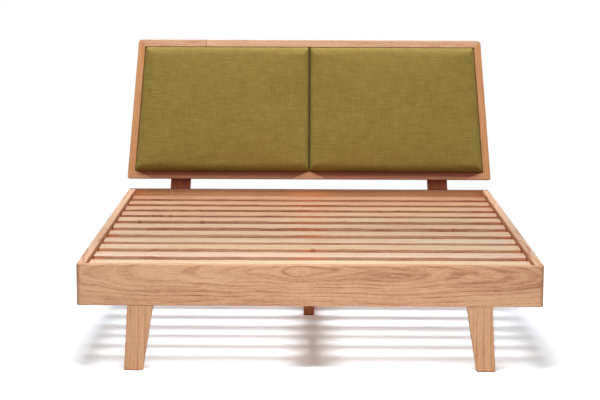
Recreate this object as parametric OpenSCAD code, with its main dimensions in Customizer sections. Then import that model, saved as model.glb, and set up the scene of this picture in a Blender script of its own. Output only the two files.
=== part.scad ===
// Platform bed: four rails, eleven slats on ledges and a centre beam, splayed legs,
// and a raked headboard that frames two upholstered pads.
// +X is to the right seen from the foot end, +Y runs towards the headboard, +Z is up.
// The origin is on the floor, in the middle of everything.

/* [Mattress] */
// Width of the mattress that lies inside the rails
mattress_w = 1530; // [1370:10:1830]
// Length of the mattress
mattress_l = 2030; // [2000:10:2100]
// Room between the mattress and a rail
mattress_clear = 7; // [5:1:15]

/* [Rails] */
// Thickness of the rails
rail_t = 28; // [26:1:32]
// Height of the rails
rail_h = 143; // [140:1:170]
// Floor to the underside of the rails
rail_lift = 227; // [180:1:280]
// Radius of the upright outer corners
corner_r = 16; // [8:1:22]
// Rounding of the long edges of rails and slats
ease = 2.5; // [1:0.5:3]

/* [Slats] */
// Width of a slat
slat_w = 100; // [70:1:110]
// Thickness of a slat
slat_t = 18; // [16:1:20]
// Top of the rails down to the top of the slats
slat_drop = 14; // [8:1:16]
// Gap between the end of a slat and the rail
slat_end_gap = 4.5; // [2:0.5:8]
// Width of the ledge under the slat ends
ledge_w = 35; // [30:1:45]
// Height of the ledge
ledge_h = 30; // [25:1:32]

/* [Centre beam] */
// Width of the beam
beam_w = 110; // [90:1:130]
// Height of the beam
beam_h = 40; // [36:1:60]
// Side of the square leg under the beam
centre_leg_w = 43; // [38:1:50]

/* [Legs] */
// Width of a leg under the rail
leg_top_w = 88; // [75:1:100]
// Width of a leg at the floor
leg_foot_w = 65; // [50:1:75]
// Lean of a leg's outer edge, in degrees
leg_lean = 3.2; // [0:0.1:5]
// End of the rail to the outer edge of a leg, under the rail
leg_inset = 174; // [150:1:220]
// Front leg from front to back, under the rail
leg_depth = 60; // [56:1:70]
// Front leg from front to back, at the floor
leg_foot_depth = 45; // [38:1:55]
// Rear post from front to back
post_t = 38; // [36:1:45]
// Thickness of the felt pad under each foot
glide_t = 3; // [2:0.5:5]

/* [Headboard] */
// Height of the headboard frame, along its slope
headboard_h = 624; // [560:1:680]
// How far the frame's lower corners stand out past the rails
headboard_over = 8; // [0:1:15]
// Lean of the frame's sides towards each other, in degrees
headboard_lean = 4.1; // [2:0.1:5]
// Lean of the headboard backwards, in degrees
headboard_rake = 12; // [6:1:14]
// Rail top to the frame's lower edge, along the slope
headboard_gap = 42; // [30:1:60]
// Width of the frame's face
member_w = 31; // [28:1:40]
// Depth of the frame from front to back
member_t = 32; // [30:1:38]

/* [Pads] */
// How far the middle of a pad stands out past the frame
pad_proud = 31; // [24:1:38]
// Gap between the two pads
pad_gap = 5; // [3:1:8]
// Rounding of the pads' front edges
pad_round = 26; // [20:1:30]

/* [Hidden] */
inner_w = mattress_w + 2 * mattress_clear;
inner_l = mattress_l + 2 * mattress_clear;
bed_w = inner_w + 2 * rail_t;
bed_l = inner_l + 2 * rail_t;

// Each end of the bed to the centre of the nearest slat
foot_to_slat = 140;
slat_to_head = 205;
// From one slat to the next, counted from the foot, as the photo shows them: the gaps are uneven
slat_steps = [180, 180, 160, 185, 190, 185, 165, 170, 170, 170];
function total(list, count) = count == 0 ? 0 : list[count - 1] + total(list, count - 1);
// The steps are stretched alike, so that the slats fill whatever length the bed has
slat_stretch = (bed_l - foot_to_slat - slat_to_head) / total(slat_steps, len(slat_steps));
slat_places = [for (i = [0:len(slat_steps)]) foot_to_slat + total(slat_steps, i) * slat_stretch];

rail_top = rail_lift + rail_h;
slat_top = rail_top - slat_drop;
slat_under = slat_top - slat_t;
slat_l = inner_w - 2 * slat_end_gap;

// The posts end below the frame's top member, and their top corners reach furthest back
post_short = 12;
post_slope = headboard_gap + headboard_h - member_w - post_short;
post_reach = (post_slope - ease) * sin(headboard_rake) + post_t * cos(headboard_rake);
foot_y = -(bed_l + post_reach) / 2;
head_y = foot_y + bed_l;

// How far a hole or a bore is larger in radius than what goes into it
fit = 0.1;
thread_fit = 0.05;
bolt_play = 0.2;
washer_play = 0.3;
counterbore_play = 1;
// Depth of a screw head below the wood around it
sunk = 0.3;
// Rounding of edges that look sharp
crisp = 0.5;

// Fasteners, as [shank radius, head radius, head height]
slat_screw = [2, 4, 2.4];
board_screw = [2.5, 4.8, 2.8];
panel_screw = [1.75, 3.4, 2];
small_bolt = [3, 5.25, 3.2];
big_bolt = [4, 7, 4.4];
// Inserts, as [radius, length]
small_insert = [4.5, 15];
big_insert = [6, 18];
washer_t = 1.6;
washer_brim = 2.5;
thread_hold = 12;

// Corner brackets: holes are [distance from the corner, height]
plate_t = 3;
bracket_l = 60;
bracket_h = 58;
bracket_bend_r = 3;
bracket_z = rail_lift + 12;
bracket_holes = [[22, 16], [46, 42]];
corner_bolt_l = plate_t + thread_hold;

// Slats and ledges
slat_screw_l = 40;
slat_screw_in = 17;
ledge_screw_l = 50;

// Beam, cradles, leg plate and stud
beam_play = 1;
beam_bottom = slat_under - beam_h;
beam_y = (foot_y + head_y) / 2;
beam_side_play = 0.3;
cradle_d = 35;
cradle_wall = 30;
cradle_floor = 28;
cradle_corner_r = 8;
cradle_edge_r = 2;
cradle_top = slat_under - 2;
cradle_screw_l = 52;
cradle_floor_screw_x = 34;
// Cradle screws are [distance from the middle, height]: below the beam, and beside it
cradle_screw_places = [
    [cradle_floor_screw_x, beam_bottom - cradle_floor / 2],
    [(beam_w + cradle_wall) / 2, beam_bottom + beam_h / 2]
];
leg_plate_t = 4;
leg_plate_w = 60;
leg_plate_l = 100;
leg_plate_hole = [20, 38];
leg_plate_corner_r = 5;
plate_screw_l = 25;
stud_r = 4;
stud_up = 14;
stud_down = 42;
stud_tip = 4;
stud_chamfer = 1;

// Legs and posts
leg_edge_r = 3;
leg_mid_x = bed_w / 2 - leg_inset - leg_top_w / 2;
// Top of the rail down to the end of the tongue that holds a front leg
tongue_drop = 45;
tongue_top = rail_top - tongue_drop;
rail_bolt_low = 36;
rail_bolt_high = 76;
rail_bolt_z = [rail_lift + rail_bolt_low, rail_lift + rail_bolt_high];
leg_bolt_l = washer_t + leg_depth - rail_t + thread_hold;
post_sink = 9;
post_bolt_l = washer_t + post_t - post_sink + thread_hold;
glide_in = 2;

// Headboard
panel_t = 9;
rebate_w = 10;
rebate_play = 0.3;
bottom_corner_r = 8;
top_corner_r = 16;
dowel_r = 3;
dowel_l = 26;
panel_screw_l = 18;
tee_flange_r = 9.5;
tee_flange_t = 1.5;
tee_barrel_r = 3.9;
headboard_bolt_slopes = [
    headboard_gap + (member_w - rebate_w) / 2,
    headboard_gap + headboard_h * 0.32,
    headboard_gap + headboard_h * 0.77
];

// Pads
board_t = 12;
cloth_t = 2;
pad_screw_l = 18;
pad_screw_in = 60;
board_corner_r = 4;
pad_play = 1.5;
pad_seat = 0.3;
pad_corner_r = 12;
pad_least_r = 4;
// Rounding of the edge that lies against the back panel's side, as [inwards, forwards]
pad_back_edge = [1, 3];
// How far a side is pulled in, halfway along, and how far the middle rises past the rounded edge
pad_draw = 1.5;
pad_crown = 7;
// Distance over which the crown rises
pad_inner = 170;

oak = "#d2a07a";
pale_oak = "#e6c3a0";
ply = "#dcc39c";
olive = "#8f7a3c";
felt = "#4a4038";
zinc = "#b8bcc0";
black_steel = "#2b2b2d";
brass = "#c9a24a";

// Outlines

function unit(v) = v / norm(v);

// Points of the arc that rounds corner b, which lies between a and c
function fillet(a, b, c, r, steps) =
    let (
        u = unit(a - b),
        v = unit(c - b),
        half = acos(u * v) / 2,
        mid = b + unit(u + v) * r / sin(half),
        p = b + u * r / tan(half) - mid,
        q = b + v * r / tan(half) - mid,
        start = atan2(p.y, p.x),
        turn = atan2(p.x * q.y - p.y * q.x, p * q)
    )
    [for (i = [0:steps]) mid + r * [cos(start + turn * i / steps), sin(start + turn * i / steps)]];

// Radii are one number, or a list with one for each corner
function rounded(corners, radii, steps = 5) =
    let (n = len(corners))
    [for (i = [0:n - 1])
        let (r = is_list(radii) ? radii[i] : radii)
        each fillet(corners[(i + n - 1) % n], corners[i], corners[(i + 1) % n], r, steps)];

function rectangle(x0, y0, x1, y1) = [[x0, y0], [x1, y0], [x1, y1], [x0, y1]];

// A convex outline, given anticlockwise, with every edge moved inwards by d
function inset(corners, d) =
    let (n = len(corners))
    [for (i = [0:n - 1])
        let (
            before = unit(corners[i] - corners[(i + n - 1) % n]),
            after = unit(corners[(i + 1) % n] - corners[i]),
            m = [-before.y, before.x],
            k = [-after.y, after.x]
        )
        corners[i] + (m + k) * d / (1 + m * k)];

// Solids

module along_x(length) {
    rotate([90, 0, 90]) linear_extrude(length) children();
}

module along_y(length) {
    translate([0, length, 0]) rotate([90, 0, 0]) linear_extrude(length) children();
}

// Skin over rings of points, each anticlockwise seen from the last ring's side
module loft(rings) {
    n = len(rings[0]);
    last = (len(rings) - 1) * n;
    polyhedron(
        [for (ring = rings) each ring],
        concat(
            [[for (i = [0:n - 1]) i]],
            [[for (i = [n - 1:-1:0]) last + i]],
            [for (j = [0:n:last - n]) for (i = [0:n - 1])
                let (k = (i + 1) % n)
                each [[j + i, j + n + i, j + n + k], [j + i, j + n + k, j + k]]]
        )
    );
}

// Prism whose two end faces have eased edges
module eased_prism(corners, radii, height) {
    function ring(turn, z) =
        let (d = ease * (1 - sin(turn)))
        [for (p = rounded(inset(corners, d), [for (r = radii) max(r - d, crisp)])) [p.x, p.y, z]];
    loft(concat(
        [for (turn = [0, 45, 90]) ring(turn, ease * (1 - cos(turn)))],
        [for (turn = [90, 45, 0]) ring(turn, height - ease * (1 - cos(turn)))]
    ));
}

// A screw or bolt points down from the origin, which is the middle of its seat
module countersunk(size, length) {
    head = size[2];
    cross_l = size[1] * 1.1;
    cross_w = 0.9;
    cross_depth = head * 0.6;
    difference() {
        union() {
            translate([0, 0, -length]) cylinder(h = length, r = size[0], $fn = 24);
            translate([0, 0, -head]) cylinder(h = head, r1 = size[0], r2 = size[1], $fn = 24);
        }
        for (turn = [0, 90])
            rotate(turn) translate([-cross_l / 2, -cross_w / 2, -cross_depth]) cube([cross_l, cross_w, head]);
    }
}

module countersink(size, length) {
    head = size[2];
    translate([0, 0, -length - fit]) cylinder(h = length + 1, r = size[0] + fit, $fn = 24);
    translate([0, 0, -head]) cylinder(h = head, r1 = size[0] + fit, r2 = size[1] + fit, $fn = 24);
    cylinder(h = 1, r = size[1] + fit, $fn = 24);
}

module cap_bolt(size, length) {
    crown_r = size[1] * 0.8;
    socket_r = size[0] * 0.65;
    socket_floor = size[2] * 0.4;
    difference() {
        union() {
            translate([0, 0, -length]) cylinder(h = length, r = size[0], $fn = 24);
            cylinder(h = size[2], r1 = size[1], r2 = crown_r, $fn = 32);
        }
        translate([0, 0, socket_floor]) cylinder(h = size[2], r = socket_r, $fn = 6);
    }
}

module bolt_hole(size, length) {
    translate([0, 0, -length]) cylinder(h = length + 1, r = size[0] + bolt_play, $fn = 24);
}

module washer(size) {
    difference() {
        cylinder(h = washer_t, r = size[1] + washer_brim, $fn = 32);
        translate([0, 0, -1]) cylinder(h = washer_t + 2, r = size[0] + washer_play, $fn = 24);
    }
}

// Room in the wood for a washer and the bolt head on it, sunk to the given depth
module counterbore(size, depth) {
    cylinder(h = depth + 1, r = size[1] + washer_brim + counterbore_play, $fn = 32);
}

// A threaded insert points down into the wood from its mouth at the origin
module insert(size, bolt) {
    translate([0, 0, -size[1]]) difference() {
        cylinder(h = size[1], r = size[0], $fn = 24);
        translate([0, 0, -1]) cylinder(h = size[1] + 2, r = bolt[0] + thread_fit, $fn = 24);
    }
}

module insert_hole(size) {
    translate([0, 0, -size[1] - 1]) cylinder(h = size[1] + 2, r = size[0] + fit, $fn = 24);
}

// Places: what is put there has its +Z axis pointing out of the wood

module facing_foot(x, y, z) {
    translate([x, y, z]) rotate([90, 0, 0]) children();
}

module facing_head(x, y, z) {
    translate([x, y, z]) rotate([-90, 0, 0]) children();
}

module facing_right(x, y, z) {
    translate([x, y, z]) rotate([0, 90, 0]) children();
}

module facing_left(x, y, z) {
    translate([x, y, z]) rotate([0, -90, 0]) children();
}

module facing_down(x, y, z) {
    translate([x, y, z]) rotate([180, 0, 0]) children();
}

// The right-hand piece is the one drawn, and the left-hand piece is its mirror image
module on_side(side) {
    if (side > 0) children();
    else mirror([1, 0, 0]) children();
}

module both_sides() {
    for (side = [-1, 1]) on_side(side) children();
}

// Inner corners of the rails: +X runs towards the middle, +Y along the side rail
module at_corner(side, end) {
    translate([side * inner_w / 2, end > 0 ? head_y - rail_t : foot_y + rail_t, bracket_z])
        mirror([side > 0 ? 1 : 0, 0, 0]) mirror([0, end > 0 ? 1 : 0, 0]) children();
}

// Mouths of the inserts behind a corner bracket, or the bracket's own face when raised by its thickness
module at_end_rail_holes(raise) {
    for (h = bracket_holes) facing_head(h[0], raise, h[1]) children();
}

module at_side_rail_holes(raise) {
    for (h = bracket_holes) facing_right(raise, h[0], bracket_h - h[1]) children();
}

module at_leg_bolts(y) {
    both_sides() for (z = rail_bolt_z) facing_head(leg_mid_x, y, z) children();
}

module at_cradle_screws(end) {
    for (side = [-1, 1]) for (place = cradle_screw_places)
        if (end > 0) facing_foot(side * place.x, head_y - rail_t - cradle_d, place.y) children();
        else facing_head(side * place.x, foot_y + rail_t + cradle_d, place.y) children();
}

// Ledge screws go halfway between the slats, clear of the slat screws
module at_ledge_screws() {
    for (i = [1:len(slat_places) - 1])
        facing_left(inner_w / 2 - ledge_w, foot_y + (slat_places[i - 1] + slat_places[i]) / 2,
            slat_under - ledge_h / 2) children();
}

module at_slat_screws() {
    for (place = slat_places) for (side = [-1, 1])
        translate([side * (slat_l / 2 - slat_screw_in), foot_y + place, slat_top - sunk]) children();
}

module at_leg_plate_screws() {
    for (x = [-leg_plate_hole[0], leg_plate_hole[0]]) for (y = [-leg_plate_hole[1], leg_plate_hole[1]])
        facing_down(x, beam_y + y, beam_bottom - leg_plate_t) children();
}

// Rails

module end_board() {
    eased_prism(
        rectangle(-bed_w / 2, 0, bed_w / 2, rail_t),
        [corner_r, corner_r, crisp, crisp],
        rail_h
    );
}

module foot_rail() {
    color(oak) difference() {
        translate([0, foot_y, rail_lift]) end_board();
        for (side = [-1, 1]) at_corner(side, -1) at_end_rail_holes(0) insert_hole(small_insert);
        at_leg_bolts(foot_y + rail_t) insert_hole(big_insert);
        at_cradle_screws(-1) countersink(board_screw, cradle_screw_l);
    }
}

module head_rail() {
    color(oak) difference() {
        translate([0, head_y, rail_lift]) mirror([0, 1, 0]) end_board();
        for (side = [-1, 1]) at_corner(side, 1) at_end_rail_holes(0) insert_hole(small_insert);
        at_leg_bolts(head_y) insert_hole(big_insert);
        at_cradle_screws(1) countersink(board_screw, cradle_screw_l);
    }
}

module side_rail(side) {
    color(oak) difference() {
        on_side(side) difference() {
            translate([inner_w / 2, foot_y + rail_t, rail_lift]) along_y(inner_l)
                polygon(rounded(rectangle(0, 0, rail_t, rail_h), ease));
            at_ledge_screws() countersink(board_screw, ledge_screw_l);
        }
        for (end = [-1, 1]) at_corner(side, end) at_side_rail_holes(0) insert_hole(small_insert);
    }
}

module slat_ledge(side) {
    color(oak) on_side(side) difference() {
        translate([inner_w / 2 - ledge_w, foot_y + rail_t + beam_play, slat_under - ledge_h])
            along_y(inner_l - 2 * beam_play)
            polygon(rounded(rectangle(0, 0, ledge_w, ledge_h), [ease, crisp, crisp, crisp]));
        at_ledge_screws() countersink(board_screw, ledge_screw_l);
        at_slat_screws() countersink(slat_screw, slat_screw_l);
    }
}

module ledge_screws() {
    color(zinc) both_sides() at_ledge_screws() countersunk(board_screw, ledge_screw_l);
}

// Corner brackets

module corner_bracket(side, end) {
    outline = [[0, 0], [bracket_l, 0], [bracket_l, plate_t],
        [plate_t, plate_t], [plate_t, bracket_l], [0, bracket_l]];
    color(zinc) at_corner(side, end) difference() {
        linear_extrude(bracket_h)
            polygon(rounded(outline, [crisp, crisp, crisp, bracket_bend_r, crisp, crisp]));
        at_end_rail_holes(plate_t) bolt_hole(small_bolt, 2 * plate_t);
        at_side_rail_holes(plate_t) bolt_hole(small_bolt, 2 * plate_t);
    }
}

module at_bracket_holes(raise) {
    for (side = [-1, 1]) for (end = [-1, 1]) at_corner(side, end) {
        at_end_rail_holes(raise) children();
        at_side_rail_holes(raise) children();
    }
}

module corner_bolts() {
    color(black_steel) at_bracket_holes(plate_t) cap_bolt(small_bolt, corner_bolt_l);
}

module corner_inserts() {
    color(brass) at_bracket_holes(0) insert(small_insert, small_bolt);
}

// Slats

module slat(i) {
    color(pale_oak) difference() {
        translate([-slat_l / 2, foot_y + slat_places[i] - slat_w / 2, slat_under]) along_x(slat_l)
            polygon(rounded(rectangle(0, 0, slat_w, slat_t), ease));
        at_slat_screws() countersink(slat_screw, slat_screw_l);
    }
}

module slat_screws() {
    color(zinc) at_slat_screws() countersunk(slat_screw, slat_screw_l);
}

// Centre beam and its leg

module centre_beam() {
    color(oak) difference() {
        translate([-beam_w / 2, foot_y + rail_t + beam_play, beam_bottom]) along_y(inner_l - 2 * beam_play)
            polygon(rounded(rectangle(0, 0, beam_w, beam_h), ease));
        at_leg_plate_screws() countersink(board_screw, plate_screw_l);
        translate([0, beam_y, beam_bottom - 1]) cylinder(h = stud_up + 3, r = stud_r + bolt_play, $fn = 24);
    }
}

module beam_cradle(end) {
    half = beam_w / 2 + cradle_wall;
    slot = beam_w / 2 + beam_side_play;
    low = beam_bottom - cradle_floor;
    big = cradle_corner_r;
    small = cradle_edge_r;
    outline = [[-half, low], [half, low], [half, cradle_top], [slot, cradle_top],
        [slot, beam_bottom], [-slot, beam_bottom], [-slot, cradle_top], [-half, cradle_top]];
    color(oak) difference() {
        translate([0, end > 0 ? head_y - rail_t - cradle_d : foot_y + rail_t, 0]) along_y(cradle_d)
            polygon(rounded(outline, [big, big, small, small, crisp, crisp, small, small]));
        at_cradle_screws(end) countersink(board_screw, cradle_screw_l);
    }
}

module cradle_screws() {
    color(zinc) for (end = [-1, 1]) at_cradle_screws(end) countersunk(board_screw, cradle_screw_l);
}

module centre_leg() {
    half = centre_leg_w / 2;
    top = beam_bottom - leg_plate_t;
    r = leg_edge_r;
    color(oak) translate([0, beam_y, 0]) difference() {
        translate([0, 0, glide_t])
            eased_prism(rectangle(-half, -half, half, half), [r, r, r, r], top - glide_t);
        translate([0, 0, top - stud_down - 1]) cylinder(h = stud_down + 2, r = stud_r + fit, $fn = 24);
    }
}

module centre_leg_plate() {
    x = leg_plate_w / 2;
    y = leg_plate_l / 2;
    color(zinc) difference() {
        translate([0, beam_y, beam_bottom - leg_plate_t]) linear_extrude(leg_plate_t)
            polygon(rounded(rectangle(-x, -y, x, y), leg_plate_corner_r));
        translate([0, beam_y, beam_bottom - 2 * leg_plate_t])
            cylinder(h = 3 * leg_plate_t, r = stud_r + thread_fit, $fn = 24);
        at_leg_plate_screws() countersink(board_screw, plate_screw_l);
    }
}

module centre_leg_stud() {
    length = stud_down + leg_plate_t + stud_up;
    shank = length - stud_tip - stud_chamfer;
    color(zinc) translate([0, beam_y, beam_bottom - leg_plate_t - stud_down]) {
        cylinder(h = stud_tip, r1 = stud_r / 2, r2 = stud_r, $fn = 24);
        translate([0, 0, stud_tip]) cylinder(h = shank, r = stud_r, $fn = 24);
        translate([0, 0, stud_tip + shank])
            cylinder(h = stud_chamfer, r1 = stud_r, r2 = stud_r - stud_chamfer, $fn = 24);
    }
}

module centre_leg_screws() {
    color(zinc) at_leg_plate_screws() countersunk(board_screw, plate_screw_l);
}

// Legs and posts

function leg_outer(z) = bed_w / 2 - leg_inset + (rail_lift - z) * tan(leg_lean);

// Right-hand outline of a leg, front to back between the two depths
function leg_outline(outer, width, front, back) =
    rounded(rectangle(outer - width, front, outer, back), leg_edge_r, 3);

module front_leg(side) {
    foot = leg_outline(leg_outer(glide_t), leg_foot_w, 0, leg_foot_depth);
    top = leg_outline(leg_outer(rail_lift), leg_top_w, 0, leg_depth);
    color(oak) difference() {
        on_side(side) translate([0, foot_y, 0]) {
            loft([[for (p = foot) [p.x, p.y, glide_t]], [for (p = top) [p.x, p.y, rail_lift]]]);
            translate([0, 0, rail_lift]) linear_extrude(tongue_top - rail_lift)
                polygon(leg_outline(leg_outer(rail_lift), leg_top_w, rail_t, leg_depth));
        }
        at_leg_bolts(foot_y + leg_depth) bolt_hole(big_bolt, leg_depth);
    }
}

module leg_bolts() {
    color(black_steel) at_leg_bolts(foot_y + leg_depth + washer_t) cap_bolt(big_bolt, leg_bolt_l);
}

module leg_inserts() {
    color(brass) at_leg_bolts(foot_y + rail_t) insert(big_insert, big_bolt);
}

// A post stands upright behind the rail, bends back at the rail's top and follows the slope
function post_mid(slope) = leg_outer(rail_top + slope * cos(headboard_rake)) - leg_top_w / 2;

function upright_ring(outline, z, fall) = [for (p = outline) [p.x, head_y + p.y, z - p.y * fall]];

function sloped_ring(outline, slope) = [for (p = outline) [
    p.x,
    head_y + slope * sin(headboard_rake) + p.y * cos(headboard_rake),
    rail_top + slope * cos(headboard_rake) - p.y * sin(headboard_rake)]];

function post_outline(z, d) = leg_outline(leg_outer(z) - d, leg_top_w - 2 * d, d, post_t - d);

module rear_post(side) {
    top_z = rail_top + post_slope * cos(headboard_rake);
    foot = leg_outline(leg_outer(glide_t), leg_foot_w, 0, post_t);
    color(oak) difference() {
        on_side(side) loft([
            upright_ring(foot, glide_t, 0),
            upright_ring(post_outline(rail_lift, 0), rail_lift, 0),
            upright_ring(post_outline(rail_top, 0), rail_top, tan(headboard_rake / 2)),
            sloped_ring(post_outline(top_z, 0), post_slope - ease),
            sloped_ring(post_outline(top_z, ease), post_slope)
        ]);
        at_leg_bolts(head_y + post_t - post_sink) {
            bolt_hole(big_bolt, post_t);
            counterbore(big_bolt, post_sink);
        }
        on_headboard() at_headboard_bolts(post_t - post_sink) {
            bolt_hole(small_bolt, post_t);
            counterbore(small_bolt, post_sink);
        }
    }
}

module post_bolts() {
    color(black_steel) at_leg_bolts(head_y + post_t - post_sink + washer_t) cap_bolt(big_bolt, post_bolt_l);
}

module post_inserts() {
    color(brass) at_leg_bolts(head_y) insert(big_insert, big_bolt);
}

module bolt_washers() {
    color(zinc) {
        at_leg_bolts(foot_y + leg_depth) washer(big_bolt);
        at_leg_bolts(head_y + post_t - post_sink) washer(big_bolt);
        on_headboard() at_headboard_bolts(post_t - post_sink) washer(small_bolt);
    }
}

module glide(x0, y0, x1, y1) {
    linear_extrude(glide_t)
        polygon(rounded(inset(rectangle(x0, y0, x1, y1), glide_in), leg_edge_r));
}

module foot_glides() {
    outer = leg_outer(glide_t);
    half = centre_leg_w / 2;
    color(felt) {
        both_sides() {
            glide(outer - leg_foot_w, foot_y, outer, foot_y + leg_foot_depth);
            glide(outer - leg_foot_w, head_y, outer, head_y + post_t);
        }
        glide(-half, beam_y - half, half, beam_y + half);
    }
}

// Headboard frame: X runs across, Z up the slope from the rail's top, and -Y out of its front

module on_headboard() {
    translate([0, head_y, rail_top]) rotate([-headboard_rake, 0, 0]) children();
}

// Turns a flat outline of the headboard upright, with its thickness running forwards
module upright() {
    rotate([90, 0, 0]) children();
}

function frame_half(slope) = bed_w / 2 + headboard_over - (slope - headboard_gap) * tan(headboard_lean);

frame_top = headboard_gap + headboard_h;
frame_corners = [[-frame_half(headboard_gap), headboard_gap], [frame_half(headboard_gap), headboard_gap],
    [frame_half(frame_top), frame_top], [-frame_half(frame_top), frame_top]];
opening_corners = inset(frame_corners, member_w);
panel_corners = inset(frame_corners, member_w - rebate_w + rebate_play);
pad_field = inset(frame_corners, member_w + pad_play);
pad_corners = [[pad_gap / 2, pad_field[0].y], pad_field[1], pad_field[2], [pad_gap / 2, pad_field[3].y]];

module at_headboard_bolts(y) {
    both_sides() for (slope = headboard_bolt_slopes) facing_head(post_mid(slope), y, slope) children();
}

module at_headboard_inserts() {
    both_sides() facing_head(post_mid(headboard_bolt_slopes[0]), 0, headboard_bolt_slopes[0]) children();
}

module at_mitre_dowels() {
    for (i = [0:3]) for (third = [1, 2]) {
        mitre = opening_corners[i] - frame_corners[i];
        mid = (opening_corners[i] + frame_corners[i]) / 2;
        translate([mid.x, mid.y, panel_t + (member_t - panel_t) * third / 3])
            rotate([0, 90, atan2(mitre.x, -mitre.y)])
            children();
    }
}

module at_panel_screws() {
    line = inset(frame_corners, member_w - rebate_w / 2);
    for (i = [0:3]) {
        count = i % 2 == 0 ? 6 : 2;
        for (k = [1:count]) {
            p = line[i] + (line[(i + 1) % 4] - line[i]) * k / (count + 1);
            facing_head(p.x, -sunk, p.y) children();
        }
    }
}

module at_pad_screws() {
    both_sides() for (p = inset(pad_corners, pad_screw_in)) facing_head(p.x, -sunk, p.y) children();
}

module at_tee_nuts() {
    both_sides() for (i = [1, 2])
        facing_foot(post_mid(headboard_bolt_slopes[i]), -panel_t, headboard_bolt_slopes[i]) children();
}

// Member i runs along side i of the frame, counted from the bottom: right, top and left follow
module frame_member(i) {
    k = (i + 1) % 4;
    radii = [bottom_corner_r, bottom_corner_r, top_corner_r, top_corner_r];
    color(oak) on_headboard() difference() {
        upright() difference() {
            intersection() {
                eased_prism(frame_corners, radii, member_t);
                linear_extrude(member_t)
                    polygon([frame_corners[i], frame_corners[k], opening_corners[k], opening_corners[i]]);
            }
            translate([0, 0, -1]) linear_extrude(panel_t + 1)
                polygon(inset(frame_corners, member_w - rebate_w));
            at_mitre_dowels() cylinder(h = dowel_l + 1, r = dowel_r + fit, center = true, $fn = 24);
        }
        at_panel_screws() countersink(panel_screw, panel_screw_l);
        if (i == 0) at_headboard_inserts() insert_hole(small_insert);
    }
}

module mitre_dowels() {
    color(pale_oak) on_headboard() upright() at_mitre_dowels()
        cylinder(h = dowel_l, r = dowel_r, center = true, $fn = 24);
}

module back_panel() {
    color(ply) on_headboard() difference() {
        upright() linear_extrude(panel_t) polygon(panel_corners);
        at_panel_screws() countersink(panel_screw, panel_screw_l);
        at_pad_screws() countersink(panel_screw, pad_screw_l);
        at_tee_nuts() translate([0, 0, -2 * panel_t])
            cylinder(h = 3 * panel_t, r = tee_barrel_r + fit, $fn = 24);
    }
}

module panel_screws() {
    color(zinc) on_headboard() at_panel_screws() countersunk(panel_screw, panel_screw_l);
}

module headboard_tee_nuts() {
    color(zinc) on_headboard() at_tee_nuts() difference() {
        union() {
            cylinder(h = tee_flange_t, r = tee_flange_r, $fn = 32);
            translate([0, 0, 1 - panel_t]) cylinder(h = panel_t - 1, r = tee_barrel_r, $fn = 24);
        }
        translate([0, 0, -panel_t]) cylinder(h = 2 * panel_t, r = small_bolt[0] + thread_fit, $fn = 24);
    }
}

module headboard_bolts() {
    seat = post_t - post_sink;
    color(black_steel) on_headboard() at_headboard_bolts(seat + washer_t)
        cap_bolt(small_bolt, seat + washer_t + panel_t + 1);
}

module headboard_inserts() {
    color(brass) on_headboard() at_headboard_inserts() insert(small_insert, small_bolt);
}

// Pads

module pad_board(side) {
    color(ply) on_headboard() on_side(side) difference() {
        upright() translate([0, 0, panel_t]) linear_extrude(board_t)
            polygon(rounded(inset(pad_corners, cloth_t), board_corner_r));
        at_tee_nuts() cylinder(h = 2 * tee_flange_t, r = tee_flange_r + 1, $fn = 32);
        at_pad_screws() countersink(panel_screw, pad_screw_l);
    }
}

module pad_screws() {
    color(zinc) on_headboard() at_pad_screws() countersunk(panel_screw, pad_screw_l);
}

// Points between a and b, pulled in by a little: most of all halfway
function drawn_in(a, b) =
    let (inwards = unit([a.y - b.y, b.x - a.x]))
    [for (t = [1 / 6:1 / 6:5 / 6]) a + (b - a) * t + inwards * pad_draw * 4 * t * (1 - t)];

// Ring of a pad, d in from its outline
function pad_ring(d, depth) =
    let (
        r = max(pad_corner_r - d, pad_least_r),
        corners = inset(pad_corners, d),
        arcs = [for (i = [0:3]) fillet(corners[(i + 3) % 4], corners[i], corners[(i + 1) % 4], r, 3)],
        outline = [for (i = [0:3]) each concat(arcs[i], drawn_in(arcs[i][3], arcs[(i + 1) % 4][0]))]
    )
    [for (p = outline) [p.x, p.y, depth]];

module pad(side) {
    back = panel_t + board_t + pad_seat;
    wall = member_t + pad_proud - pad_crown - pad_round;
    function edge_ring(a) = pad_ring(pad_round * (1 - cos(a)), wall + pad_round * sin(a));
    function crown_ring(t) =
        pad_ring(pad_round + pad_inner * t, wall + pad_round + pad_crown * (1 - pow(1 - t, 2)));
    color(olive) on_headboard() on_side(side) upright() loft(concat(
        [pad_ring(pad_back_edge[0], back), pad_ring(0, back + pad_back_edge[1])],
        [for (a = [0:18:90]) edge_ring(a)],
        [for (t = [0.25:0.25:1]) crown_ring(t)]
    ));
}

// All the pieces

foot_rail();
head_rail();
centre_beam();
beam_cradle(-1);  // beam_cradle_foot
beam_cradle(1);  // beam_cradle_head
centre_leg();
centre_leg_plate();
centre_leg_stud();
centre_leg_screws();
corner_bracket(-1, -1);  // corner_bracket_foot_left
corner_bracket(1, -1);  // corner_bracket_foot_right
corner_bracket(-1, 1);  // corner_bracket_head_left
corner_bracket(1, 1);  // corner_bracket_head_right
corner_bolts();
corner_inserts();
ledge_screws();
cradle_screws();
slat_screws();
leg_bolts();
leg_inserts();
post_bolts();
post_inserts();
bolt_washers();
foot_glides();
frame_member(0);  // headboard_bottom
frame_member(1);  // headboard_side_right
frame_member(2);  // headboard_top
frame_member(3);  // headboard_side_left
mitre_dowels();
back_panel();
panel_screws();
headboard_bolts();
headboard_tee_nuts();
headboard_inserts();
pad_screws();
for (i = [1:len(slat_places)])
    slat(i - 1);
for (side = [["left", -1], ["right", 1]]) {
    side_rail(side[1]);
    slat_ledge(side[1]);
    front_leg(side[1]);
    rear_post(side[1]);
    pad_board(side[1]);
    pad(side[1]);
}
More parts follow.
